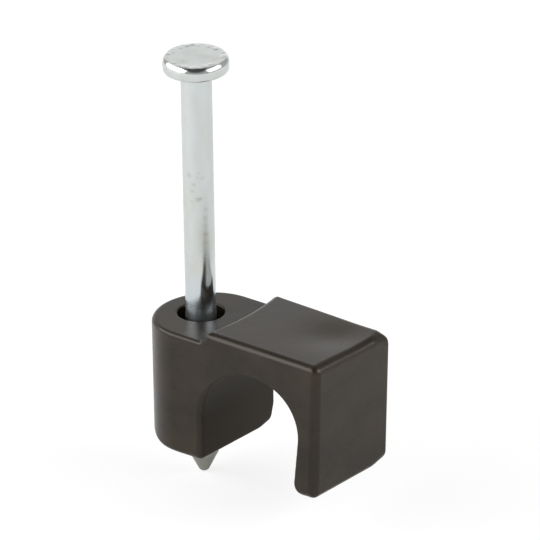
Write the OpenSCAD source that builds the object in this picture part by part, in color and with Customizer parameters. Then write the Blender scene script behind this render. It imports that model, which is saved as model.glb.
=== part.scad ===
// Nail-in clip for a round cable: a one-piece plastic moulding and its pre-fitted steel nail.
// X runs from the nail to the hook, Y along the cable and Z away from the wall.
// The origin is on the nail's axis, in the plane of the wall that the clip is nailed to.

/* [Cable channel] */
// Diameter of the cable
cable_d = 7; // [6.5:0.25:9]
// Room between the cable and the crown of the arch
cable_room = 0.25; // [0.1:0.05:0.5]
// Radius of the arch on the side of the nail
arch_r = 4.35; // [4:0.05:4.8]
// Radius of the tighter shoulder, which turns down into the leg
shoulder_r = 3.05; // [2.8:0.05:3.4]
// Angle, from +X towards +Z, at which the arch turns into the shoulder
turn_angle = 60; // [50:1:70]
// Angle by which the inside of the leg closes in towards its foot
toe_in = 6.5; // [2:0.5:8]

/* [Hook] */
// Length of the clip along the cable
depth = 7.5; // [6.6:0.1:9]
// Thickness of plastic over the crown
crown_t = 2.05; // [1.5:0.05:3]
// Thickness of the leg beside the shoulder
leg_t = 1.45; // [1.3:0.05:2.4]
// Angle by which the outside of the leg closes in towards its foot
outer_lean = 2; // [0.5:0.1:3]
// Radius of the inner edge of the foot
foot_r = 0.9; // [0.4:0.1:1]

/* [Nail boss] */
// Distance from the nail's axis to the flat wall beside the cable
boss_wall = 2.95; // [2.6:0.05:4]
// Depth of the boss top below the hook top
boss_drop = 0.8; // [0.5:0.05:1.2]
// Distance from the nail's axis to the centre of the boss's round end
boss_shift = 0.72; // [0.4:0.02:0.9]
// Diameter of the wide mouth of the nail hole
mouth_d = 3.1; // [2.6:0.1:3.4]
// Depth of the wide mouth, down to its taper
mouth_depth = 1.4; // [0.8:0.1:3]
// Clearance round the nail in its hole, on the radius
nail_fit = 0.05; // [0.02:0.01:0.1]

/* [Step up to the hook] */
// Distance from the nail's axis to the top edge of the step, where the edge is farthest
step_reach = 3.8; // [3.5:0.1:4.2]
// Radius of the step's hollow curve, seen from above
step_r = 18; // [16:1:40]
// How far the middle of that curve stands in front of the nail's axis
step_side = 0.5; // [0:0.1:1]
// Angle of the step's face from upright
step_slope = 33; // [20:1:40]

/* [Rounded edges] */
// Radius of the front edges, the upright edges and the rim of the boss
edge_r = 0.3; // [0.15:0.05:0.4]
// Radius of the hook's top edge at the back
back_r = 0.5; // [0.3:0.05:0.8]
// Radius of the edges round the wall face
base_r = 0.5; // [0.2:0.05:0.6]
// Radius of the corners that run along the cable
corner_r = 0.5; // [0.3:0.05:0.6]

/* [Nail] */
// Diameter of the shank
nail_d = 2; // [1.8:0.1:2.4]
// Length of the nail from the top of its head to its point
nail_length = 29.3; // [24:0.1:34]
// How far the point stands out beyond the wall face
point_out = 2.9; // [2:0.05:4]
// Angle of the point's cone from the nail's axis
point_angle = 27; // [20:1:35]
// Radius of the rounded tip
tip_r = 0.4; // [0.3:0.05:0.5]
// Radius of the flat at the very end of the tip
tip_flat_r = 0.05; // [0.03:0.01:0.1]
// Diameter of the head
head_d = 4.3; // [3.8:0.1:5]
// Thickness of the head
head_t = 1.2; // [0.9:0.05:1.5]
// Radius round the top rim of the head
head_rim_r = 0.3; // [0.1:0.05:0.35]
// Radius round the rim of the head's underside
head_under_r = 0.5; // [0.2:0.05:0.5]

/* [Hidden] */
$fn = 96;

// How far a cutting shape runs past the face that it cuts
lap = 0.5;
// How far an arc and the line that touches it cross, so that they meet in one clean edge
seam = 0.002;
crown_h = cable_d + cable_room;
clip_h = crown_h + crown_t;
boss_h = clip_h - boss_drop;
half_depth = depth / 2;

// Centres of the two arcs of the channel, as X and Z: the smaller circle touches the larger one from inside
arch_c = [boss_wall + arch_r, crown_h - arch_r];
shoulder_c = on_arc(arch_c, arch_r - shoulder_r, turn_angle);

// The inside of the leg: where it leaves the shoulder, and where it would meet the wall
leg_top = on_arc(shoulder_c, shoulder_r, -toe_in);
foot_x = leg_top[0] - leg_top[1] * tan(toe_in);

// The outside of the leg, in the plane of the wall and at the top
outer_x = shoulder_c[0] + shoulder_r + leg_t - shoulder_c[1] * tan(outer_lean);
outer_top_x = outer_x + clip_h * tan(outer_lean);

// The step is part of a wide cone, whose axis stands well behind the nail
step_axis_x = step_reach - step_r;

// The nail's heights, and where its cone would meet the plane of its tip
shank_r = nail_d / 2;
tip_z = -point_out;
head_z = tip_z + nail_length - head_t;
cone_end_r = tip_flat_r + tip_r * tan((90 - point_angle) / 2);
point_length = (shank_r - cone_end_r) / tan(point_angle);
hole_r = shank_r + nail_fit;

function on_arc(centre, radius, angle) = centre + radius * [cos(angle), sin(angle)];

// What a fillet of radius r takes off a corner at the origin, whose two faces look out at the given angles
module corner_waste(r, angles) {
  middle = (angles[0] + angles[1]) / 2;
  centre = on_arc([0, 0], -r / cos((angles[1] - angles[0]) / 2), middle);
  difference() {
    polygon([
      centre,
      on_arc(centre, r + lap, angles[0]),
      on_arc(centre, 2 * (r + lap), middle),
      on_arc(centre, r + lap, angles[1]),
    ]);
    translate(centre) circle(r + seam);
  }
}

// Rounds the back edge of a face that looks up, between x0 and x1
module round_back_edge(x0, x1, r) {
  translate([x0, half_depth, 0])
    rotate([90, 0, 90])
      linear_extrude(x1 - x0) corner_waste(r, [0, 90]);
}

// Rounds the front edge of a face that looks up, between x0 and x1
module round_front_edge(x0, x1, r) {
  mirror([0, 1, 0]) round_back_edge(x0, x1, r);
}

// Rounds the edge of the boss's round end, at the height of a face that looks up
module round_boss_end(r) {
  translate([boss_shift, 0, 0])
    rotate([0, 0, 90])
      rotate_extrude(angle = 180) translate([half_depth, 0]) corner_waste(r, [0, 90]);
}

// Rounds a corner that runs along the cable, where two faces look out at the given angles
module round_long_corner(x, z, angles) {
  translate([x, half_depth + lap, z])
    rotate([90, 0, 0])
      linear_extrude(depth + 2 * lap) corner_waste(corner_r, angles);
}

// The clip seen from above, from the boss's round end as far as end_x
module plan(end_x) {
  translate([boss_shift, 0]) circle(half_depth);
  translate([boss_shift, -half_depth]) square([end_x - boss_shift, depth]);
}

// A block as tall as the hook, whose outer end leans and has its two upright corners rounded
module tall_block() {
  reach = outer_x + depth;
  intersection() {
    linear_extrude(clip_h) plan(outer_top_x + lap);
    translate([outer_x, 0, 0]) rotate([0, outer_lean, 0]) translate([0, 0, -lap])
      linear_extrude(clip_h + 2 * lap) union() {
        translate([-reach, -half_depth]) square([reach - edge_r, depth]);
        translate([-reach, edge_r - half_depth]) square([reach, depth - 2 * edge_r]);
        for (side = [-1, 1])
          translate([-edge_r, side * (half_depth - edge_r)]) circle(edge_r);
      }
  }
}

// The space over the boss, back to the hollow step and down to where the boss's rim begins to round
module step_space() {
  translate([step_axis_x, -step_side, boss_h - edge_r])
    cylinder(
      h = boss_drop + edge_r + lap,
      r1 = step_r - (boss_drop + edge_r) * tan(step_slope),
      r2 = step_r + lap * tan(step_slope),
      $fn = 360
    );
}

// The top of the boss, with its rim rounded
module boss_cap() {
  thickness = edge_r + lap;
  difference() {
    translate([0, 0, boss_h - thickness]) linear_extrude(thickness) plan(step_reach + lap);
    translate([0, 0, boss_h]) {
      round_boss_end(edge_r);
      round_back_edge(boss_shift, step_reach + 2 * lap, edge_r);
      round_front_edge(boss_shift, step_reach + 2 * lap, edge_r);
    }
  }
}

// The clip before its channel and its hole are cut, with the edges of its wall face rounded
module blank() {
  difference() {
    union() {
      difference() {
        tall_block();
        step_space();
      }
      boss_cap();
    }
    mirror([0, 0, 1]) {
      round_boss_end(base_r);
      round_back_edge(boss_shift, outer_x + lap, base_r);
      round_front_edge(boss_shift, outer_x + lap, base_r);
    }
  }
}

// The channel's outline, with X across and Z up: the arch, the shoulder, and the open mouth below them
module channel_outline() {
  intersection() {
    translate(arch_c) circle(arch_r);
    polygon([
      arch_c,
      on_arc(arch_c, 2 * arch_r, turn_angle),
      [boss_wall - lap, clip_h + arch_r],
      [boss_wall - lap, -lap],
      [arch_c[0], -lap],
    ]);
  }
  translate(shoulder_c) circle(shoulder_r + seam);
  polygon([
    arch_c,
    shoulder_c,
    leg_top,
    [foot_x - lap * tan(toe_in), -lap],
    [boss_wall, -lap],
    [boss_wall, arch_c[1]],
  ]);
  translate([foot_x, 0]) corner_waste(foot_r, [180 - toe_in, 270]);
}

module channel() {
  translate([0, half_depth + lap, 0])
    rotate([90, 0, 0])
      linear_extrude(depth + 2 * lap) channel_outline();
}

// The nail's hole: a gripping bore right through, a wide mouth above, and a taper between them
module nail_hole() {
  mouth_r = mouth_d / 2;
  taper = mouth_r - hole_r;
  translate([0, 0, -lap]) cylinder(h = boss_h + 2 * lap, r = hole_r);
  translate([0, 0, boss_h - mouth_depth]) cylinder(h = mouth_depth + lap, r = mouth_r);
  translate([0, 0, boss_h - mouth_depth - taper]) cylinder(h = taper, r1 = hole_r, r2 = mouth_r);
}

module clip_body() {
  color([0.13, 0.12, 0.11])
    difference() {
      blank();
      channel();
      nail_hole();
      translate([0, 0, clip_h]) {
        round_back_edge(boss_shift, outer_top_x + lap, back_r);
        round_front_edge(boss_shift, outer_top_x + lap, edge_r);
      }
      round_long_corner(outer_top_x, clip_h, [-outer_lean, 90]);
      round_long_corner(outer_x, 0, [-90, -outer_lean]);
      round_long_corner(boss_wall, 0, [-90, 0]);
    }
}

// Half of the head's section, with both of its rims rounded
module head_section() {
  radius = head_d / 2;
  difference() {
    square([radius, head_t]);
    translate([radius, head_t]) corner_waste(head_rim_r, [0, 90]);
    translate([radius, 0]) corner_waste(head_under_r, [-90, 0]);
  }
}

// Half of the shank's section, from its rounded tip up into the head
module shank_section() {
  difference() {
    polygon([
      [0, tip_z],
      [cone_end_r, tip_z],
      [shank_r, tip_z + point_length],
      [shank_r, head_z + head_t / 2],
      [0, head_z + head_t / 2],
    ]);
    translate([cone_end_r, tip_z]) corner_waste(tip_r, [-90, -point_angle]);
  }
}

module nail() {
  color([0.78, 0.79, 0.8])
    rotate_extrude() {
      shank_section();
      translate([0, head_z]) head_section();
    }
}

clip_body();
nail();
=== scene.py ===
"""Looks of a nail-in cable clip: its moulded plastic hook, its plated steel nail and the studio round them.

X runs from the nail to the hook, Y along the cable and Z away from the wall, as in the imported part.
Sizes of the pieces and of the camera's place are in millimetres, and meshes are handed over in metres.
Finishes and lamps are in metres throughout.
"""

import itertools
import logging
import math
from dataclasses import dataclass, field
from enum import Enum
from typing import Callable

import bpy
import numpy as np
from mathutils import Matrix, Vector


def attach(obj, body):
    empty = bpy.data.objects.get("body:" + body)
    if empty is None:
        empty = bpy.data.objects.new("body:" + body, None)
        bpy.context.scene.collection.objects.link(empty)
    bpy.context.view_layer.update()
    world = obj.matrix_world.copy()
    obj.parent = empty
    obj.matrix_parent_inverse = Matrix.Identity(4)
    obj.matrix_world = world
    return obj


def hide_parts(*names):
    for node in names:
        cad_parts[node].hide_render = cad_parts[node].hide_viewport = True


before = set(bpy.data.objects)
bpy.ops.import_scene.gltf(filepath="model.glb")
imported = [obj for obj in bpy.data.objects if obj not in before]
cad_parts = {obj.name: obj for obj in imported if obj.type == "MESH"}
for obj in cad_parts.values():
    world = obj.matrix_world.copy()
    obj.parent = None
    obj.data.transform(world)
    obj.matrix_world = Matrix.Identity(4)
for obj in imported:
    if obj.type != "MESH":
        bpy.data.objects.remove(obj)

Array = np.ndarray
Socket = bpy.types.NodeSocket
Span = tuple[float, float]
Triple = tuple[float, float, float]
Colour = Triple
Level = Callable[[Array, Array, Array], Array]

MM = 0.001
LOG = logging.getLogger("cable_clip")
WHITE = (1.0, 1.0, 1.0, 1.0)
# The whole range of a share, and the range that cloudy noise mostly keeps to
WHOLE: Span = (0.0, 1.0)
CLOUD_RANGE: Span = (0.3, 0.7)


class Body(Enum):
    """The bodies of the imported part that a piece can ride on."""

    CLIP = "clip"
    NAIL = "driven_nail"


class Node(Enum):
    """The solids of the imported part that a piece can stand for."""

    CLIP = "clip_body"
    NAIL = "nail"


class Slot(Enum):
    """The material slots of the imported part."""

    PLASTIC = "clip_plastic"
    STEEL = "nail_steel"


class Mark(Enum):
    """The numbers that a piece keeps for each of its points, for its finish to read."""

    RUBBED_EDGE = "rubbed_edge"
    DULL_SKIN = "dull_skin"
    NUB = "nub"
    SCUFF = "scuff"


class Step(Enum):
    """What a node does with its one or two numbers."""

    ADD = "ADD"
    SUBTRACT = "SUBTRACT"
    MULTIPLY = "MULTIPLY"
    SIZE = "ABSOLUTE"
    LEAST = "MINIMUM"
    MOST = "MAXIMUM"


def ease(value: Array, start: float, end: float) -> Array:
    """Rises smoothly from 0 at start to 1 at end, as three squares less two cubes of the way along.

    Args:
        value: Where on the way each point is.
        start: The value at which the rise begins.
        end: The value at which it is complete; below start for a fall.

    Returns:
        The height of the rise at each point.
    """
    way = np.clip((value - start) / (end - start), 0.0, 1.0)
    return way * way * (3.0 - 2.0 * way)


def between(first: Array | float, second: Array | float, share: Array) -> Array:
    """The value that lies a share of the way from the first to the second."""
    return first + (second - first) * share


def rounded_cut(first: Array, second: Array, radius: Array | float) -> Array:
    """Level of what two shapes share, with the edge between them rounded to a quarter of a circle.

    Near the edge the level is the distance from the circle's centre, which lies one radius inside both
    shapes.

    Args:
        first: Level of one shape, negative inside it.
        second: Level of the other shape.
        radius: Radius of the rounding, which may change from point to point.

    Returns:
        The level of the shared shape.
    """
    corner = np.hypot(np.maximum(first + radius, 0.0), np.maximum(second + radius, 0.0))
    return np.minimum(np.maximum(first, second), -radius) + corner


def rounded_join(first: Array, second: Array, radius: float) -> Array:
    """Level of two shapes together, with a hollow fillet of the given radius between them."""
    return -rounded_cut(-first, -second, radius)


def slope_of(level: Level, points: Array, reach: float = 1e-4) -> Array:
    """Slope of a level at some points, from its change over a short reach along each axis.

    Args:
        level: The function of X, Y and Z.
        points: One row per point.
        reach: Half of the distance between the two readings.

    Returns:
        One row per point, which points the way that the level rises.
    """
    readings = []
    for shift in reach * np.eye(3):
        rise = level(*(points + shift).T) - level(*(points - shift).T)
        readings.append(rise / (2.0 * reach))
    return np.stack(readings, axis=1)


def crossed_cells(inside: Array) -> Array:
    """Finds the cells of a grid that have some corners inside a solid and some outside.

    Args:
        inside: Whether each corner of the grid lies inside.

    Returns:
        Whether each cell is crossed by the solid's skin.
    """
    ends = (slice(None, -1), slice(1, None))
    corners = [inside[corner].astype(np.int8) for corner in itertools.product(ends, repeat=3)]
    count = sum(corners)
    return (count > 0) & (count < len(corners))


def pulled_to_skin(
    level: Level, points: Array, longest: float, pulls: int = 12, least_slope: float = 0.5
) -> Array:
    """Pulls points to where a level is zero: each time by the level over its slope, along that slope.

    Args:
        level: The function of X, Y and Z.
        points: One row per point.
        longest: The longest pull along an axis.
        pulls: How many times the points are pulled.
        least_slope: The slope that a flatter one counts as, so that no pull runs away.

    Returns:
        The pulled points.
    """
    for _ in range(pulls):
        slope = slope_of(level, points)
        square = np.maximum(np.einsum("ij,ij->i", slope, slope), least_slope**2)
        pull = slope * (level(*points.T) / square)[:, None]
        points = points - np.clip(pull, -longest, longest)
    return points


def net_faces(inside: Array, number: Array) -> Array:
    """Joins the points of the four cells round each cell edge that the skin crosses.

    Args:
        inside: Whether each corner of the grid lies inside.
        number: The number of each cell's point.

    Returns:
        The faces as rows of four point numbers that turn anticlockwise seen from outside.
    """
    faces = []
    for turn in ((0, 1, 2), (1, 2, 0), (2, 0, 1)):
        sides = inside.transpose(turn)
        cells = number.transpose(turn)
        below = sides[:-1, 1:-1, 1:-1]
        i, j, k = np.nonzero(below != sides[1:, 1:-1, 1:-1])
        around = (cells[i, j, k], cells[i, j + 1, k], cells[i, j + 1, k + 1], cells[i, j, k + 1])
        quads = np.stack(around, axis=1)
        faces.append(np.where(below[i, j, k][:, None], quads, quads[:, ::-1]))
    return np.concatenate(faces)


def skin_of(level: Level, low: Array, high: Array, pitch: float) -> tuple[Array, Array]:
    """Skin of the solid where a level is negative, by the method of surface nets.

    Space is cut into cubic cells. Each cell that the skin passes through gets one point, which starts in
    the cell's middle and is pulled to the skin. The points of neighbouring cells are joined to faces.

    Args:
        level: The function of X, Y and Z.
        low: Lowest corner of the space to search.
        high: Highest corner of that space.
        pitch: Size of a cell.

    Returns:
        The points, and the faces as rows of four point numbers.
    """
    axes = [np.arange(start, stop + pitch, pitch) for start, stop in zip(low, high)]
    inside = level(*np.meshgrid(*axes, indexing="ij")) < 0.0
    crossed = crossed_cells(inside)
    number = np.full(crossed.shape, -1)
    number[crossed] = np.arange(np.count_nonzero(crossed))
    middles = low + (np.argwhere(crossed) + 0.5) * pitch
    return pulled_to_skin(level, middles, 0.5 * pitch), net_faces(inside, number)


def turned_faces(rows: int, sides: int) -> list[list[int]]:
    """Faces of a turned skin: four-sided ones between neighbouring rings, and a fan at each end.

    Args:
        rows: How many rings of points there are, from the lowest to the innermost one on top.
        sides: How many points a ring has; the points that close the two ends follow the last ring.

    Returns:
        Rows of point numbers that turn anticlockwise seen from outside.
    """
    number = np.arange(rows * sides).reshape(rows, sides)
    beside = np.roll(number, -1, axis=1)
    quads = np.stack([number[:-1], beside[:-1], beside[1:], number[1:]], axis=-1).reshape(-1, 4)
    low_end = np.full(sides, rows * sides)
    low_fan = np.stack([low_end, beside[0], number[0]], axis=-1)
    top_fan = np.stack([low_end + 1, number[-1], beside[-1]], axis=-1)
    return quads.tolist() + low_fan.tolist() + top_fan.tolist()


def direction(azimuth: float, elevation: float) -> Vector:
    """The way from the part to something that stands round it.

    Args:
        azimuth: Angle in degrees from -Y towards +X.
        elevation: Angle in degrees above the level.

    Returns:
        A vector of length 1.
    """
    turn = math.radians(azimuth)
    rise = math.radians(elevation)
    return Vector((math.sin(turn) * math.cos(rise), -math.cos(turn) * math.cos(rise), math.sin(rise)))


def make_piece(
    name: str, points: Array, faces: list[list[int]], normals: Array | None = None
) -> bpy.types.Object:
    """Makes a smooth mesh object from points in millimetres.

    Args:
        name: The object's name.
        points: One row per point.
        faces: Rows of point numbers.
        normals: The way that the true surface looks at each point, where it is known.

    Returns:
        The object, at the origin and in the scene.
    """
    mesh = bpy.data.meshes.new(name)
    mesh.from_pydata((points * MM).tolist(), [], faces)
    mesh.validate()
    mesh.shade_smooth()
    if normals is not None:
        mesh.normals_split_custom_set_from_vertices(normals.tolist())
    piece = bpy.data.objects.new(name, mesh)
    bpy.context.scene.collection.objects.link(piece)
    return piece


def keep_mark(piece: bpy.types.Object, mark: Mark, values: Array) -> None:
    """Keeps one number per point on a piece, for its finish to read."""
    kept = piece.data.attributes.new(mark.value, "FLOAT", "POINT")
    kept.data.foreach_set("value", values.astype(np.float32))


@dataclass(frozen=True)
class Clouds:
    """Cloudy noise: its spots to a metre, its finer layers, and a scale along each axis."""

    scale: float
    detail: float
    stretch: Triple = (1.0, 1.0, 1.0)


class NodeSheet:
    """The node tree of a material or a world, with short ways to add nodes and join them."""

    def __init__(self, owner: bpy.types.Material | bpy.types.World, shader: str, coordinates: str) -> None:
        """Takes up the tree of a new material or world.

        Args:
            owner: The material or world.
            shader: Name of the shader's node in its tree.
            coordinates: The texture coordinates that give a point's place.
        """
        owner.use_nodes = True
        self.tree = owner.node_tree
        self.shader = self.tree.nodes[shader]
        self.place = self.tree.nodes.new("ShaderNodeTexCoord").outputs[coordinates]

    def add(self, kind: str, **values: object) -> bpy.types.Node:
        """Adds a node.

        Args:
            kind: The node's type.
            **values: The node's own properties.

        Returns:
            The node.
        """
        node = self.tree.nodes.new(kind)
        for key, value in values.items():
            setattr(node, key, value)
        return node

    def join(self, source: Socket, target: Socket) -> None:
        """Links one socket to another."""
        self.tree.links.new(source, target)

    def hold(self, name: str, value: object) -> None:
        """Sets one of the shader's own inputs to a constant."""
        self.shader.inputs[name].default_value = value

    def feed(self, name: str, source: Socket) -> None:
        """Links a socket to one of the shader's inputs."""
        self.join(source, self.shader.inputs[name])

    def noise(self, clouds: Clouds) -> Socket:
        """Cloudy noise over the piece; a low scale along an axis draws the spots out that way.

        Args:
            clouds: The noise's scales and layers.

        Returns:
            The noise, from 0 to 1.
        """
        mapping = self.add("ShaderNodeMapping")
        mapping.inputs["Scale"].default_value = clouds.stretch
        self.join(self.place, mapping.inputs["Vector"])
        node = self.add("ShaderNodeTexNoise")
        node.inputs["Scale"].default_value = clouds.scale
        node.inputs["Detail"].default_value = clouds.detail
        self.join(mapping.outputs["Vector"], node.inputs["Vector"])
        return node.outputs["Fac"]

    def spread(self, source: Socket, results: Span, limits: Span, smooth: bool = False) -> Socket:
        """Stretches a number from one range to another, and holds it at the ends.

        Args:
            source: The number to stretch.
            results: What comes out at the first limit, and at the second.
            limits: The number's two limits.
            smooth: Whether the result eases in and out.

        Returns:
            The stretched number.
        """
        node = self.add("ShaderNodeMapRange")
        if smooth:
            node.interpolation_type = "SMOOTHSTEP"
        node.inputs["From Min"].default_value = limits[0]
        node.inputs["From Max"].default_value = limits[1]
        node.inputs["To Min"].default_value = results[0]
        node.inputs["To Max"].default_value = results[1]
        self.join(source, node.inputs["Value"])
        return node.outputs["Result"]

    def scaled(self, share: Socket, most: float) -> Socket:
        """A share from 0 to 1 as a number from 0 to the most it can be."""
        return self.spread(share, (0.0, most), WHOLE)

    def calculate(self, step: Step, first: Socket, second: Socket | float = 0.0) -> Socket:
        """Works out one number from another one or two.

        Args:
            step: What is done with them.
            first: The first number.
            second: The second number, where the step takes one.

        Returns:
            The result.
        """
        node = self.add("ShaderNodeMath", operation=step.value)
        self.join(first, node.inputs[0])
        if isinstance(second, Socket):
            self.join(second, node.inputs[1])
        else:
            node.inputs[1].default_value = second
        return node.outputs["Value"]

    def mix(self, share: Socket, first: Colour | Socket, second: Colour) -> Socket:
        """Mixes two colours.

        Args:
            share: How much of the second colour there is.
            first: The first colour, or a socket that gives it.
            second: The second colour.

        Returns:
            The mixed colour.
        """
        node = self.add("ShaderNodeMix", data_type="RGBA")
        self.join(share, node.inputs["Factor"])
        if isinstance(first, Socket):
            self.join(first, node.inputs["A"])
        else:
            node.inputs["A"].default_value = (*first, 1.0)
        node.inputs["B"].default_value = (*second, 1.0)
        return node.outputs["Result"]

    def height(self) -> Socket:
        """Coordinate along Z.

        Returns:
            The coordinate, in metres on a piece.
        """
        split = self.add("ShaderNodeSeparateXYZ")
        self.join(self.place, split.inputs["Vector"])
        return split.outputs["Z"]

    def near_height(self, middle: float, reach: float) -> Socket:
        """How close a point is to a height, from 1 there to 0 at a reach from it."""
        apart = self.calculate(Step.SUBTRACT, self.height(), middle)
        return self.spread(self.calculate(Step.SIZE, apart), (1.0, 0.0), (0.0, reach))

    def marked(self, mark: Mark) -> Socket:
        """A number that the piece keeps for each of its points."""
        return self.add("ShaderNodeAttribute", attribute_name=mark.value).outputs["Fac"]

    def relief(self, height: Socket, depth: float, under: Socket | None = None) -> Socket:
        """Turns a height into fine relief.

        Args:
            height: The height, from 0 to 1.
            depth: The relief's depth.
            under: Another relief that this one lies on.

        Returns:
            The normal to give to the shader.
        """
        node = self.add("ShaderNodeBump")
        node.inputs["Distance"].default_value = depth
        self.join(height, node.inputs["Height"])
        if under is not None:
            self.join(under, node.inputs["Normal"])
        return node.outputs["Normal"]


class FinishSheet(NodeSheet):
    """The node tree of a new material, with places in Object coordinates."""

    def __init__(self, name: str) -> None:
        """Starts a material that holds a principled shader and its output."""
        self.material = bpy.data.materials.new(name)
        super().__init__(self.material, "Principled BSDF", "Object")


@dataclass(frozen=True)
class MouldedPlastic:
    """Dark brown-black moulded plastic with a soft sheen.

    Cloudy flow marks lie along the cable, and rubbed edges are paler. Faint ripples and a fine grain break
    up the sheen, and the skin of the channel and of the boss's top is duller.
    """

    colour: Colour = (0.0075, 0.0045, 0.0020)
    flow_colour: Colour = (0.0235, 0.0158, 0.0086)
    rubbed_colour: Colour = (0.026, 0.019, 0.012)
    rubbed_share: float = 0.3
    rubbed_limits: Span = (0.2, 1.0)
    sheen_tint: Colour = (1.0, 0.95, 0.88)
    sheen_level: float = 0.36
    roughness: Span = (0.24, 0.33)
    dulling: float = 0.34
    flow: Clouds = Clouds(320.0, 4.0, (1.0, 0.5, 1.3))
    ripples: Clouds = Clouds(900.0, 1.0)
    ripple_depth: float = 1.0e-5
    grain: Clouds = Clouds(9000.0, 3.0)
    grain_depth: float = 1.6e-6

    def material(self) -> bpy.types.Material:
        """Makes the finish.

        Returns:
            The material.
        """
        sheet = FinishSheet("moulded_plastic")
        sheet.hold("Specular IOR Level", self.sheen_level)
        sheet.hold("Specular Tint", (*self.sheen_tint, 1.0))
        flow = sheet.noise(self.flow)
        body = sheet.mix(sheet.spread(flow, WHOLE, CLOUD_RANGE), self.colour, self.flow_colour)
        edge = sheet.marked(Mark.RUBBED_EDGE)
        rubbed = sheet.spread(edge, (0.0, self.rubbed_share), self.rubbed_limits)
        sheet.feed("Base Color", sheet.mix(rubbed, body, self.rubbed_colour))
        sheen = sheet.spread(flow, self.roughness, CLOUD_RANGE)
        dull = sheet.scaled(sheet.marked(Mark.DULL_SKIN), self.dulling)
        sheet.feed("Roughness", sheet.calculate(Step.ADD, sheen, dull))
        ripples = sheet.relief(sheet.noise(self.ripples), self.ripple_depth)
        sheet.feed("Normal", sheet.relief(sheet.noise(self.grain), self.grain_depth, ripples))
        return sheet.material


@dataclass(frozen=True)
class PlatedSteel:
    """Bright zinc plate on drawn wire, cloudy, with faint lines along the shank.

    The plate is bluish round the boss and dull where the plastic grips it. The shank is duller than its
    foot and the head, its scuffs are dark, and the nubs on the head are frosted and painted paler as a
    highlight. The point is painted darker as the floor's shadow that it reflects.
    """

    colour: Colour = (0.628, 0.668, 0.668)
    clouded_colour: Colour = (0.585, 0.600, 0.565)
    clouds: Clouds = Clouds(900.0, 5.0, (1.0, 1.0, 0.45))
    roughness: Span = (0.09, 0.17)
    lines: Clouds = Clouds(5200.0, 3.0, (1.0, 1.0, 0.02))
    line_depth: float = 6.0e-7
    # A bluish band round the boss, and the zone that the plastic grips
    blue_band_colour: Colour = (0.575, 0.635, 0.68)
    blue_band_height: float = 0.0090
    blue_band_reach: float = 0.0030
    grip_height: float = 0.0084
    grip_reach: float = 0.0017
    grip_dulling: float = 0.2
    # How dull the foot, the shank and the head are, and the heights over which one passes into the next
    foot_dulling: float = 0.03
    shank_dulling: float = 0.2
    head_dulling: float = 0.02
    dull_heights: Span = (0.0121, 0.0131)
    bright_heights: Span = (0.0250, 0.0254)
    # Scuffs, the nubs with their painted highlight, and the painted shade on the point
    scuff_colour: Colour = (0.36, 0.37, 0.33)
    scuff_share: float = 0.6
    # Painted highlight: the nubs are paler, standing in for the glints of light that they catch
    nub_highlight_colour: Colour = (0.92, 0.94, 0.92)
    nub_limits: Span = (0.05, 0.5)
    nub_dulling: float = 0.25
    # Painted shade: the point is darker, standing in for the floor's shadow that it reflects
    point_shade_colour: Colour = (0.27, 0.27, 0.24)
    point_shade_heights: Span = (-0.0004, -0.0016)

    def material(self) -> bpy.types.Material:
        """Makes the finish.

        Returns:
            The material.
        """
        sheet = FinishSheet("plated_steel")
        sheet.hold("Metallic", 1.0)
        clouds = sheet.noise(self.clouds)
        nub = sheet.spread(sheet.marked(Mark.NUB), WHOLE, self.nub_limits)
        sheet.feed("Base Color", self.base_colour(sheet, clouds, nub))
        plate = sheet.spread(clouds, self.roughness, CLOUD_RANGE)
        sheet.feed("Roughness", sheet.calculate(Step.ADD, plate, self.dulling(sheet, nub)))
        sheet.feed("Normal", sheet.relief(sheet.noise(self.lines), self.line_depth))
        return sheet.material

    def base_colour(self, sheet: FinishSheet, clouds: Socket, nub: Socket) -> Socket:
        """Lays the plate's colours over each other: clouds, a bluish band, scuffs, painted shade on the
        point and a painted highlight on the nubs.

        Args:
            sheet: The material's node tree.
            clouds: How cloudy the plate is.
            nub: How far a point is on a nub.

        Returns:
            The colour.
        """
        cloudy = sheet.spread(clouds, WHOLE, CLOUD_RANGE)
        banded = sheet.near_height(self.blue_band_height, self.blue_band_reach)
        scuffed = sheet.scaled(sheet.marked(Mark.SCUFF), self.scuff_share)
        # Painted shade on the point: it darkens below the given heights, for the shadow that it reflects
        cut = sheet.spread(sheet.height(), WHOLE, self.point_shade_heights)
        colour = sheet.mix(cloudy, self.colour, self.clouded_colour)
        colour = sheet.mix(banded, colour, self.blue_band_colour)
        colour = sheet.mix(scuffed, colour, self.scuff_colour)
        colour = sheet.mix(cut, colour, self.point_shade_colour)
        # Painted highlight on the nubs
        return sheet.mix(nub, colour, self.nub_highlight_colour)

    def dulling(self, sheet: FinishSheet, nub: Socket) -> Socket:
        """Adds up what makes the plate duller: the grip, the nubs, and the height along the nail.

        Args:
            sheet: The material's node tree.
            nub: How far a point is on a nub.

        Returns:
            What is added to the roughness.
        """
        grip = sheet.scaled(sheet.near_height(self.grip_height, self.grip_reach), self.grip_dulling)
        frost = sheet.scaled(nub, self.nub_dulling)
        rising = sheet.spread(sheet.height(), (self.foot_dulling, self.shank_dulling), self.dull_heights)
        falling = sheet.spread(sheet.height(), (self.shank_dulling, self.head_dulling), self.bright_heights)
        drawn = sheet.calculate(Step.LEAST, rising, falling)
        return sheet.calculate(Step.ADD, sheet.calculate(Step.ADD, grip, frost), drawn)


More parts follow.
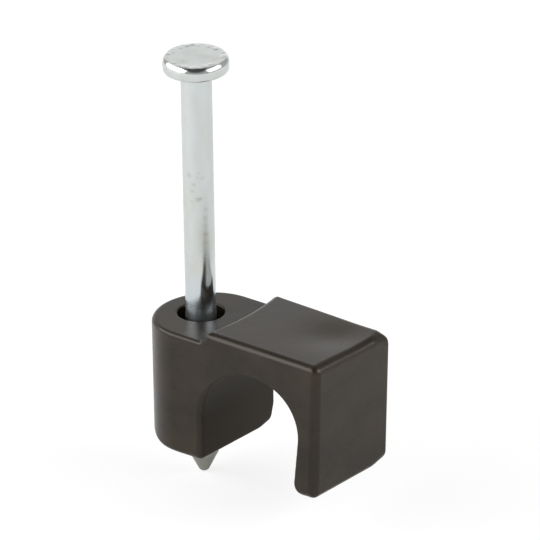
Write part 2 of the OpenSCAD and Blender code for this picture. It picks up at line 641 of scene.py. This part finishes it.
@dataclass
class CableClip:
    """The plastic moulding: a round-ended boss for the nail and an arched hook for the cable.

    A field of two numbers says where, along one axis, a change begins and where it is complete.
    """

    finish: MouldedPlastic = field(default_factory=MouldedPlastic)
    depth: float = 7.5
    hook_top: float = 9.3
    boss_top: float = 8.5
    boss_wall: float = 2.95
    boss_shift: float = 0.726
    # The cable channel, and the leaning outer face
    crown: float = 7.25
    arch_r: float = 4.35
    shoulder_r: float = 3.05
    arch_turn: float = math.radians(60.0)
    toe_in: float = math.radians(6.5)
    outer_foot: float = 12.309
    outer_lean: float = math.radians(2.0)
    # The step between the two tops, and the sink mark in the hook's top
    step_reach: float = 3.8
    step_r: float = 18.0
    step_side: float = -0.5
    step_slope: float = math.radians(33.0)
    step_edge_r: float = 0.23
    step_foot_r: float = 0.10
    sink_x: float = 10.35
    sink_y: float = 0.85
    sink_reach: float = 1.4
    sink_depth: float = 0.16
    # The nail's hole
    bore_r: float = 1.05
    mouth_r: float = 1.55
    mouth_depth: float = 1.4
    mouth_edge_r: float = 0.10
    # Corners that run along the cable, which swell to a ball at the back, and the leg's foot among them
    corner_r: float = 0.38
    top_corner_r: float = 0.6
    ball_r: float = 1.0
    foot_ball_r: float = 0.8
    ball_reach: float = 1.6
    foot_r: float = 0.9
    foot_inside_x: Span = (9.0, 9.5)
    foot_outside_x: Span = (11.9, 11.3)
    # Edges round the plan
    hook_edge_r: float = 0.46
    hook_back_r: float = 0.6
    front_upright_r: float = 0.55
    upright_r: float = 0.22
    boss_edge_r: float = 0.26
    boss_end_r: float = 0.4
    base_edge_r: float = 0.8
    base_front_r: float = 0.34
    arch_edge_r: float = 0.10
    wall_edge_r: float = 0.42
    # Where those edges pass from one radius to the next
    front_y: Span = (0.5, -0.5)
    base_front_y: Span = (-2.2, -3.6)
    boss_end_x: Span = (-0.5, -2.8)
    back_swell_x: Span = (0.0, 12.0)
    base_wall_x: Span = (0.6, 2.6)
    hook_x: Span = (2.6, 4.2)
    wall_x: Span = (5.6, 3.4)
    wall_z: Span = (6.8, 3.8)
    base_z: Span = (1.6, 0.6)
    opening_reach: Span = (0.1, 1.0)
    upright_turn: Span = (-0.5, 0.5)
    # Rubbed edges, and the duller skin of the channel and of the boss's top
    unrounded: float = 0.02
    rubbed_inset: float = 0.1
    dull_channel: Span = (0.15, 0.02)
    dull_boss_share: float = 0.22
    dull_boss_reach: float = 0.1
    dull_boss_x: Span = (3.3, 2.7)
    # The grid that the skin is found on
    pitch: float = 0.09
    margin_cells: float = 3.4

    def ball_share(self, y: Array) -> Array:
        """How far the corners along the cable have swollen to a ball, from 0 to 1 at the back."""
        half = 0.5 * self.depth
        return ease(y, half - self.ball_reach, half)

    def plan_level(self, x: Array, y: Array) -> Array:
        """Distance outside the plan: from the round end's axis, or from the flat sides beyond it."""
        return np.hypot(np.minimum(x - self.boss_shift, 0.0), y) - 0.5 * self.depth

    def top_level(self, x: Array, y: Array, z: Array, sharp: float) -> Array:
        """Distance above the two tops and the step between them, which is part of a wide cone.

        Over the thick shoulder the hook's top has sunk a little as it cooled, in the shape of a bell.

        Args:
            x: Places along X.
            y: Places along Y.
            z: Places along Z.
            sharp: What the radii of the edges are multiplied by.

        Returns:
            The level, negative in the plastic.
        """
        reach = np.hypot(x - self.step_reach + self.step_r, y - self.step_side)
        ramp = self.step_r - (self.hook_top - z) * math.tan(self.step_slope)
        apart = ((x - self.sink_x) ** 2 + (y - self.sink_y) ** 2) / self.sink_reach**2
        above = z - self.hook_top + self.sink_depth * np.exp(-0.5 * apart)
        hook = rounded_cut(above, (ramp - reach) * math.cos(self.step_slope), sharp * self.step_edge_r)
        return rounded_join(z - self.boss_top, hook, sharp * self.step_foot_r)

    def channel_level(self, x: Array, z: Array) -> Array:
        """Distance into the plastic from the cable channel.

        Within the angle that an arc spans at its centre this is the distance from the arc. Elsewhere it is
        the distance from the boss's wall or the leg's inside, whichever is more. The shoulder's centre lies
        on the line from the arch's centre along which one arc turns into the other.

        Args:
            x: Places along X.
            z: Places along Z.

        Returns:
            The distance, negative in the channel.
        """
        arch_x = x - (self.boss_wall + self.arch_r)
        arch_z = z - (self.crown - self.arch_r)
        shoulder_x = arch_x - (self.arch_r - self.shoulder_r) * math.cos(self.arch_turn)
        shoulder_z = arch_z - (self.arch_r - self.shoulder_r) * math.sin(self.arch_turn)
        arch_angle = np.arctan2(arch_z, arch_x)
        shoulder_angle = np.arctan2(shoulder_z, shoulder_x)
        on_arch = arch_angle >= self.arch_turn
        on_shoulder = (shoulder_angle >= -self.toe_in) & (shoulder_angle <= self.arch_turn)
        arch = np.hypot(arch_x, arch_z) - self.arch_r
        shoulder = np.hypot(shoulder_x, shoulder_z) - self.shoulder_r
        leg = shoulder_x * math.cos(self.toe_in) - shoulder_z * math.sin(self.toe_in) - self.shoulder_r
        straight = np.maximum(self.boss_wall - x, leg)
        return np.where(on_arch, arch, np.where(on_shoulder, shoulder, straight))

    def edge_r(self, x: Array, y: Array, z: Array, channel: Array, upright: Array) -> Array:
        """Radius of the edges round the plan, which passes smoothly from one stretch to the next.

        It is fullest along the hook's back and the boss's base, and crisp where the arch opens. Beside the
        boss's wall the base's edge narrows to that wall's own, so that the two meet at the corner.

        Args:
            x: Places along X.
            y: Places along Y.
            z: Places along Z.
            channel: Distance into the plastic from the channel.
            upright: How far the nearest edge is the outer face's upright one, from 0 to 1.

        Returns:
            The radius at each place.
        """
        front = ease(y, *self.front_y)
        low = ease(z, *self.base_z)
        beside_wall = ease(x, *self.wall_x)
        back_r = between(self.boss_edge_r, self.hook_back_r, ease(x, *self.back_swell_x))
        back_r = between(back_r, self.upright_r, upright)
        front_r = between(self.hook_edge_r, self.front_upright_r, upright)
        hook_r = between(back_r, front_r, front)
        base_r = between(self.base_edge_r, self.base_front_r, ease(y, *self.base_front_y))
        base_r = between(base_r, self.wall_edge_r, ease(x, *self.base_wall_x))
        rim_r = between(self.boss_edge_r, self.boss_end_r, ease(x, *self.boss_end_x))
        boss_r = between(rim_r, base_r, low)
        outside_r = between(boss_r, hook_r, ease(x, *self.hook_x))
        wall_share = beside_wall * ease(z, *self.wall_z) * front
        opening_r = between(self.arch_edge_r, self.wall_edge_r, wall_share)
        opening_r = between(opening_r, base_r, beside_wall * low)
        return between(opening_r, outside_r, ease(channel, *self.opening_reach))

    def level(self, x: Array, y: Array, z: Array, sharp: float = 1.0) -> Array:
        """Level of the whole moulding, worked out as shapes cut from each other with rounded edges.

        The profile along the cable comes first: the tops, the leaning outer face, the channel and the wall
        face, with the corners along the cable. The plan cuts it next, and then the nail's hole.

        Args:
            x: Places along X.
            y: Places along Y.
            z: Places along Z.
            sharp: What the radii of the edges are multiplied by.

        Returns:
            The level, negative in the plastic.
        """
        outer = (x - self.outer_foot) * math.cos(self.outer_lean) - z * math.sin(self.outer_lean)
        top = self.top_level(x, y, z, sharp)
        channel = self.channel_level(x, z)
        ball = self.ball_share(y)
        top_corner_r = between(self.top_corner_r, self.ball_r, ball)
        profile = np.maximum(rounded_cut(top, outer, sharp * top_corner_r), -channel)
        foot = ease(x, *self.foot_inside_x) * ease(x, *self.foot_outside_x)
        low_corner_r = between(between(self.corner_r, self.foot_ball_r, ball), self.foot_r, foot)
        profile = rounded_cut(profile, -z, sharp * low_corner_r)
        upright = ease(outer - np.maximum(top, -z), *self.upright_turn)
        edge_r = self.edge_r(x, y, z, channel, upright)
        body = rounded_cut(profile, self.plan_level(x, y), sharp * edge_r)
        taper_top = self.boss_top - self.mouth_depth
        hole_r = np.clip(self.mouth_r + z - taper_top, self.bore_r, self.mouth_r)
        return rounded_cut(body, hole_r - np.hypot(x, y), sharp * self.mouth_edge_r)

    def build(self) -> bpy.types.Object:
        """Makes the moulding's skin, with its rubbed edges and its dull skin kept for the finish.

        An edge is rubbed as far as the point lies inside the shape with its edges left nearly sharp.

        Returns:
            The piece.
        """
        half = 0.5 * self.depth
        margin = self.margin_cells * self.pitch
        outer_top = self.outer_foot + self.hook_top * math.tan(self.outer_lean)
        low = np.array([self.boss_shift - half, -half, 0.0]) - margin
        high = np.array([outer_top, half, self.hook_top]) + margin
        points, faces = skin_of(self.level, low, high, self.pitch)
        normals = slope_of(self.level, points)
        normals /= np.linalg.norm(normals, axis=1)[:, None]
        piece = make_piece("moulded_clip", points, faces.tolist(), normals)
        inset = -self.level(*points.T, sharp=self.unrounded)
        keep_mark(piece, Mark.RUBBED_EDGE, np.clip(inset / self.rubbed_inset, 0.0, 1.0))
        keep_mark(piece, Mark.DULL_SKIN, self.dull_skin(points))
        return piece

    def dull_skin(self, points: Array) -> Array:
        """How dull the skin is: fully in the channel, and somewhat on the boss's top, by a bell curve of Z.

        Args:
            points: One row per point of the skin.

        Returns:
            The dullness, from 0 to 1.
        """
        x, _, z = points.T
        in_channel = ease(self.channel_level(x, z), *self.dull_channel)
        above = (z - self.boss_top) / self.dull_boss_reach
        on_boss = np.exp(-(above**2)) * ease(x, *self.dull_boss_x)
        return np.maximum(in_channel, self.dull_boss_share * on_boss)

    def dress(self, piece: bpy.types.Object) -> None:
        """Gives the moulding its finish and puts it in the part.

        Args:
            piece: The moulding.
        """
        piece.data.materials.append(self.finish.material())
        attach(piece, Body.CLIP.value)
        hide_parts(Node.CLIP.value)


@dataclass
class SteelNail:
    """The nail: a drawn shank with a blunt point and a thick round head, turned about Z.

    A field of two numbers gives the two ends of a range.
    """

    finish: PlatedSteel = field(default_factory=PlatedSteel)
    # Points round the nail, and points along each stretch of its section
    sides: int = 160
    tip_rows: int = 14
    point_rows: int = 24
    shank_rows: int = 300
    curve_rows: int = 11
    rim_rows: int = 12
    lip_rows: int = 6
    top_rows: int = 44
    # Shank and point
    shank_r: float = 1.0
    tip: float = -2.9
    tip_r: float = 0.42
    tip_start: float = 0.02
    point_angle: float = math.radians(27.0)
    neck_r: float = 0.18
    # Head, with the lean that comes in over its height and its lower rim
    head_base: float = 25.2
    head_top: float = 26.4
    head_r: float = 2.15
    rim_r: float = 0.6
    rim_start: float = math.radians(42.0)
    lip_r: float = 0.06
    under_r: float = 0.5
    head_lean: float = math.radians(3.0)
    lean_side: float = math.radians(-50.0)
    lean_rise: Span = (0.3, 0.7)
    lean_rim: Span = (1.75, 2.15)
    # Slow waves round the rim
    waver: float = 0.008
    waver_turns: Span = (0.6, 2.1)
    waver_reach: Span = (1.2, 2.0)
    rim_rise: float = 0.3
    # Nubs on the head's top
    nubs: int = 24
    nub_seed: int = 11
    nub_height: float = 0.028
    nub_heights: Span = (0.2, 1.0)
    nub_widths: Span = (0.09, 0.15)
    nub_rings: Span = (1.62, 1.86)
    nub_swing: float = 0.35
    nub_skin: float = 0.02
    # Marks of the jaws that held the wire, and small nicks above them
    jaw_marks: int = 5
    jaw_start: float = 13.75
    jaw_pitch: float = 0.58
    jaw_side: float = math.radians(-25.0)
    nicks: int = 13
    nick_heights: Span = (16.0, 18.9)
    nick_side: float = math.radians(-48.0)
    nick_spread: float = math.radians(20.0)
    scuff_seed: int = 7
    scuff_depth: float = 0.006
    scuff_depths: Span = (0.3, 0.9)
    scuff_widths: Span = (0.045, 0.075)
    scuff_stretch: float = 1.6

    def flat_top(self) -> float:
        """Height of the head's top between its nubs."""
        return self.head_top - self.nub_height

    @staticmethod
    def arc(centre: Span, radius: float, angles: Span, count: int) -> Array:
        """Points of an arc in the plane of the section, as rows of radius and height.

        Args:
            centre: Radius and height of the arc's centre.
            radius: The arc's own radius.
            angles: Where the arc starts and ends, from outwards towards up.
            count: How many points it has.

        Returns:
            The points.
        """
        angle = np.linspace(*angles, count)
        return np.stack([centre[0] + radius * np.cos(angle), centre[1] + radius * np.sin(angle)], axis=1)

    def shank_section(self) -> Array:
        """Half of the shank's section: round the tip, up the point and the shank, out along a fillet.

        Returns:
            Rows of radius and height.
        """
        quarter = 0.5 * math.pi
        ball_angles = (self.tip_start - quarter, -self.point_angle)
        ball = self.arc((0.0, self.tip + self.tip_r), self.tip_r, ball_angles, self.tip_rows)
        ball_r, ball_top = ball[-1]
        point_top = ball_top + (self.shank_r - ball_r) / math.tan(self.point_angle)
        neck_z = self.head_base - self.neck_r
        neck_centre = (self.shank_r + self.neck_r, neck_z)
        point = np.linspace(ball[-1], [self.shank_r, point_top], self.point_rows)
        shank = np.linspace([self.shank_r, point_top], [self.shank_r, neck_z], self.shank_rows)
        neck = self.arc(neck_centre, self.neck_r, (math.pi, quarter), self.curve_rows)
        return np.concatenate([ball, point[1:], shank[1:], neck[1:]])

    def head_section(self) -> Array:
        """Half of the head's section, from its underside to its middle on top.

        The lower rim is a quarter circle. The upper rim is an arc that stops short of upright, where a
        small lip turns it into the flat top.

        Returns:
            Rows of radius and height.
        """
        quarter = 0.5 * math.pi
        inset = self.rim_r - self.lip_r
        lip_x = self.head_r - self.rim_r + inset * math.cos(self.rim_start)
        lip_z = self.flat_top() - self.lip_r
        rim_z = lip_z - inset * math.sin(self.rim_start)
        under_centre = (self.head_r - self.under_r, self.head_base + self.under_r)
        rim_centre = (self.head_r - self.rim_r, rim_z)
        lower = self.arc(under_centre, self.under_r, (-quarter, 0.0), self.curve_rows)
        upper = self.arc(rim_centre, self.rim_r, (0.0, self.rim_start), self.rim_rows)
        lip = self.arc((lip_x, lip_z), self.lip_r, (self.rim_start, quarter), self.lip_rows)
        top = np.linspace([lip_x, self.flat_top()], [0.0, self.flat_top()], self.top_rows)
        return np.concatenate([lower, upper, lip[1:], top[1:-1]])

    def nub_relief(self, radius: Array, angle: Array) -> Array:
        """Height of the small forging nubs round the head: a ring of soft bumps, unevenly placed and sized.

        Each bump is a bell curve of the distance from its middle. Places and sizes come from a seeded
        source.

        Args:
            radius: Distance from the nail's axis.
            angle: Angle round the axis.

        Returns:
            The height, from 0 to the full height of a nub.
        """
        source = np.random.default_rng(self.nub_seed)
        spacing = 2.0 * np.pi / self.nubs
        swing = source.uniform(-self.nub_swing, self.nub_swing, self.nubs)
        middle_angle = spacing * (np.arange(self.nubs) + swing)
        middle_r = source.uniform(*self.nub_rings, self.nubs)
        width = source.uniform(*self.nub_widths, self.nubs)
        height = source.uniform(*self.nub_heights, self.nubs)
        across = radius[..., None] * np.cos(angle[..., None] - middle_angle) - middle_r
        along = radius[..., None] * np.sin(angle[..., None] - middle_angle)
        bumps = height * np.exp(-0.5 * (across**2 + along**2) / width**2)
        return self.nub_height * np.clip(bumps.sum(axis=-1), 0.0, 1.0)

    def scuffs(self, angle: Array, height: Array) -> Array:
        """How far the shank is scuffed: a column of jaw marks, and a scatter of small nicks above it.

        Each is a bell curve of the distance from its middle, wider round the shank than along it. The
        places of the nicks, and all widths and depths, come from a seeded source.

        Args:
            angle: Angle round the nail's axis.
            height: Height along the axis.

        Returns:
            The share of the full depth, from 0 to 1.
        """
        source = np.random.default_rng(self.scuff_seed)
        jaw_z = self.jaw_start + self.jaw_pitch * np.arange(self.jaw_marks)
        jaw_angle = np.full(self.jaw_marks, self.jaw_side)
        nick_z = source.uniform(*self.nick_heights, self.nicks)
        nick_angle = source.normal(self.nick_side, self.nick_spread, self.nicks)
        middle_z = np.concatenate([jaw_z, nick_z])
        middle_angle = np.concatenate([jaw_angle, nick_angle])
        width = source.uniform(*self.scuff_widths, len(middle_z))
        depth = source.uniform(*self.scuff_depths, len(middle_z))
        turn = angle[..., None] - middle_angle
        around = self.shank_r * np.arctan2(np.sin(turn), np.cos(turn)) / self.scuff_stretch
        along = height[..., None] - middle_z
        marks = depth * np.exp(-0.5 * (around**2 + along**2) / width**2)
        return np.clip(marks.sum(axis=-1), 0.0, 1.0)

    def head_share(self, height: Array) -> Array:
        """How far a point is up in the head, from 0 at the underside to 1 a little above it."""
        return ease(height, self.head_base, self.head_base + self.rim_rise)

    def rim_waver(self, radius: Array, angle: Array, height: Array) -> Array:
        """How far the upset rim falls short of a true circle.

        Round the head this is a steady part, a wave with two crests and one half as high with five. It
        comes in over the head's underside.

        Args:
            radius: Distance from the nail's axis.
            angle: Angle round the axis.
            height: Height along the axis.

        Returns:
            What is taken off the radius.
        """
        two_crests = np.sin(2.0 * angle + self.waver_turns[0])
        five_crests = np.sin(5.0 * angle + self.waver_turns[1])
        waves = self.waver * (1.5 + two_crests + 0.5 * five_crests)
        return waves * self.head_share(height) * ease(radius, *self.waver_reach)

    def lean_fall(self, radius: Array, angle: Array, height: Array) -> Array:
        """How far the leaning head's points drop: the lean's tangent times the distance from its high side.

        The underside stays level round the shank. The lean comes in over the head's height, and sooner at
        its rim.

        Args:
            radius: Distance from the nail's axis.
            angle: Angle round the axis.
            height: Height along the axis.

        Returns:
            What is taken off the height.
        """
        fall = math.tan(self.head_lean) * (self.head_r + radius * np.cos(angle - self.lean_side))
        raised = ease(height - self.head_base, *self.lean_rise)
        at_rim = self.head_share(height) * ease(radius, *self.lean_rim)
        return fall * np.maximum(raised, at_rim)

    def build(self) -> bpy.types.Object:
        """Makes the nail's skin by turning its section about Z; one point closes each end.

        The rim wavers, scuffs go into the shank, nubs stand on the head's top, and last the head leans.
        How far each point is on a nub or a scuff is kept for the finish.

        Returns:
            The piece.
        """
        section = np.concatenate([self.shank_section(), self.head_section()])
        turns = np.linspace(0.0, 2.0 * np.pi, self.sides, endpoint=False)
        radius, angle = np.meshgrid(section[:, 0], turns, indexing="ij")
        height = np.repeat(section[:, 1:], self.sides, axis=1)
        radius = radius - self.rim_waver(radius, angle, height)
        scuff = self.scuffs(angle, height)
        radius = radius - self.scuff_depth * scuff
        on_top = height > self.flat_top() - self.nub_skin
        nub = np.where(on_top, self.nub_relief(radius, angle), 0.0)
        height = height + nub
        height = height - self.lean_fall(radius, angle, height)
        rings = np.stack([radius * np.cos(angle), radius * np.sin(angle), height], axis=-1)
        middle_top = self.flat_top() - math.tan(self.head_lean) * self.head_r
        ends = np.array([[0.0, 0.0, self.tip], [0.0, 0.0, middle_top]])
        points = np.concatenate([rings.reshape(-1, 3), ends])
        piece = make_piece("steel_nail", points, turned_faces(len(section), self.sides))
        plain_ends = np.zeros(len(ends))
        keep_mark(piece, Mark.NUB, np.append(nub / self.nub_height, plain_ends))
        keep_mark(piece, Mark.SCUFF, np.append(scuff, plain_ends))
        return piece

    def dress(self, piece: bpy.types.Object) -> None:
        """Gives the nail its finish and puts it in the part.

        Args:
            piece: The nail.
        """
        piece.data.materials.append(self.finish.material())
        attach(piece, Body.NAIL.value)
        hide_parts(Node.NAIL.value)


@dataclass(frozen=True)
class SoftBox:
    """A large soft lamp, by the direction it stands in, in degrees, and what it gives."""

    name: str
    azimuth: float
    elevation: float
    distance: float
    width: float
    height: float
    watts: float

    def build(self, target: Vector) -> None:
        """Hangs the lamp at its place and turns it to a target.

        Args:
            target: The place that the lamp looks at, in metres.
        """
        lamp = bpy.data.lights.new(self.name, "AREA")
        lamp.shape = "RECTANGLE"
        lamp.size = self.width
        lamp.size_y = self.height
        lamp.energy = self.watts
        away = direction(self.azimuth, self.elevation)
        stand = bpy.data.objects.new(self.name, lamp)
        stand.location = target + self.distance * away
        stand.rotation_euler = away.to_track_quat("Z", "Y").to_euler()
        bpy.context.scene.collection.objects.link(stand)


@dataclass
class Studio:
    """The pale floor, the soft light and the camera. Angles are in degrees."""

    # Camera
    target: Triple = (5.833, 0.03, 13.0)
    azimuth: float = 39.655
    elevation: float = 23.744
    roll: float = -0.824
    distance: float = 314.18
    focal_length: float = 328.67
    sensor_width: float = 36.0
    clip_start: float = 0.01
    # Floor, which lies at the nail's point
    floor_height: float = -2.9
    floor_size: float = 4.0
    floor_grey: float = 0.9
    floor_roughness: float = 0.9
    shadow_share: float = 0.34
    floor_lift: float = 0.73
    mirror_lift: float = 0.12
    # Light from all round: its level, how it fades towards the top, and the dark patch in it
    sky_level: float = 0.5
    zenith_level: float = 0.36
    sky_fade: Span = (0.45, 0.75)
    dark_elevation: float = 50.0
    dark_spread: Span = (42.0, 24.0)
    dark_level: float = 0.2
    lamps: tuple[SoftBox, ...] = (
        SoftBox("left_box", -40.0, 25.0, 0.45, 0.70, 0.32, 2.45),
        SoftBox("right_box", 110.0, 26.0, 0.5, 0.44, 0.24, 1.55),
        SoftBox("back_box", -140.0, 14.0, 0.5, 0.65, 0.34, 0.33),
    )

    def build(self) -> None:
        """Sets up the floor, the world, the lamps, the camera and the view."""
        self.lay_floor()
        self.light_world()
        for lamp in self.lamps:
            lamp.build(Vector(self.target) * MM)
        self.place_camera()
        bpy.context.scene.view_settings.view_transform = "Standard"

    def lay_floor(self) -> None:
        """Lays a wide flat floor under the nail's point."""
        half = 0.5 * self.floor_size
        height = self.floor_height * MM
        front = [(-half, -half, height), (half, -half, height)]
        back = [(half, half, height), (-half, half, height)]
        mesh = bpy.data.meshes.new("floor")
        mesh.from_pydata(front + back, [], [(0, 1, 2, 3)])
        mesh.materials.append(self.floor_material())
        floor = bpy.data.objects.new("floor", mesh)
        bpy.context.scene.collection.objects.link(floor)

    def floor_material(self) -> bpy.types.Material:
        """Makes the floor's finish.

        The camera sees the floor darker but lifted by a light of its own, so that it comes out white and
        keeps a faint shadow. Reflections see it pale and lifted by less.

        Returns:
            The material.
        """
        sheet = FinishSheet("pale_floor")
        sheet.hold("Roughness", self.floor_roughness)
        sheet.hold("Specular IOR Level", 0.0)
        sheet.hold("Emission Color", WHITE)
        path = sheet.add("ShaderNodeLightPath").outputs
        seen = path["Is Camera Ray"]
        mirrored = sheet.calculate(Step.ADD, path["Is Glossy Ray"], path["Is Transmission Ray"])
        sheet.feed("Base Color", sheet.spread(seen, (self.floor_grey, self.shadow_share), WHOLE))
        seen_lift = sheet.scaled(seen, self.floor_lift)
        mirrored_lift = sheet.scaled(mirrored, self.mirror_lift)
        sheet.feed("Emission Strength", sheet.calculate(Step.ADD, seen_lift, mirrored_lift))
        return sheet.material

    def light_world(self) -> None:
        """Lights the room from all round, while the camera sees plain white.

        The light fades towards the top. A soft dark patch stands high up on the camera's side, as a dark
        room behind a camera does, and the rounded edges and the nail's rim reflect it.
        """
        world = bpy.data.worlds.new("studio")
        bpy.context.scene.world = world
        sheet = NodeSheet(world, "Background", "Generated")
        sheet.hold("Color", WHITE)
        sky = sheet.spread(sheet.height(), (self.sky_level, self.zenith_level), self.sky_fade, smooth=True)
        facing = sheet.add("ShaderNodeVectorMath", operation="DOT_PRODUCT")
        facing.inputs[1].default_value = direction(self.azimuth, self.dark_elevation)
        sheet.join(sheet.place, facing.inputs[0])
        outer, inner = (math.cos(math.radians(angle)) for angle in self.dark_spread)
        patch = sheet.spread(facing.outputs["Value"], (1.0, self.dark_level), (outer, inner), smooth=True)
        dimmed = sheet.calculate(Step.MULTIPLY, sky, patch)
        path = sheet.add("ShaderNodeLightPath").outputs
        sheet.feed("Strength", sheet.calculate(Step.MOST, dimmed, path["Is Camera Ray"]))

    def place_camera(self) -> None:
        """Puts the camera where the fitted view has it, rolled a little about its own axis."""
        back = direction(self.azimuth, self.elevation)
        level_right = direction(self.azimuth + 90.0, 0.0)
        level_up = back.cross(level_right)
        roll = math.radians(self.roll)
        right = level_right * math.cos(roll) + level_up * math.sin(roll)
        up = level_up * math.cos(roll) - level_right * math.sin(roll)
        lens = bpy.data.cameras.new("camera")
        lens.sensor_width = self.sensor_width
        lens.lens = self.focal_length
        lens.clip_start = self.clip_start
        place = (Vector(self.target) + self.distance * back) * MM
        turn = Matrix((right, up, back)).transposed().to_4x4()
        camera = bpy.data.objects.new("camera", lens)
        camera.matrix_world = Matrix.Translation(place) @ turn
        bpy.context.scene.collection.objects.link(camera)
        bpy.context.scene.camera = camera


def main() -> None:
    """Builds the pieces and the studio."""
    logging.basicConfig(level=logging.INFO, format="%(message)s")
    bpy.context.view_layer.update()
    for assembly in (CableClip(), SteelNail()):
        piece = assembly.build()
        assembly.dress(piece)
        LOG.info("%s: %d faces", piece.name, len(piece.data.polygons))
    Studio().build()
    LOG.info("studio: set up")


if __name__ == "__main__":
    main()
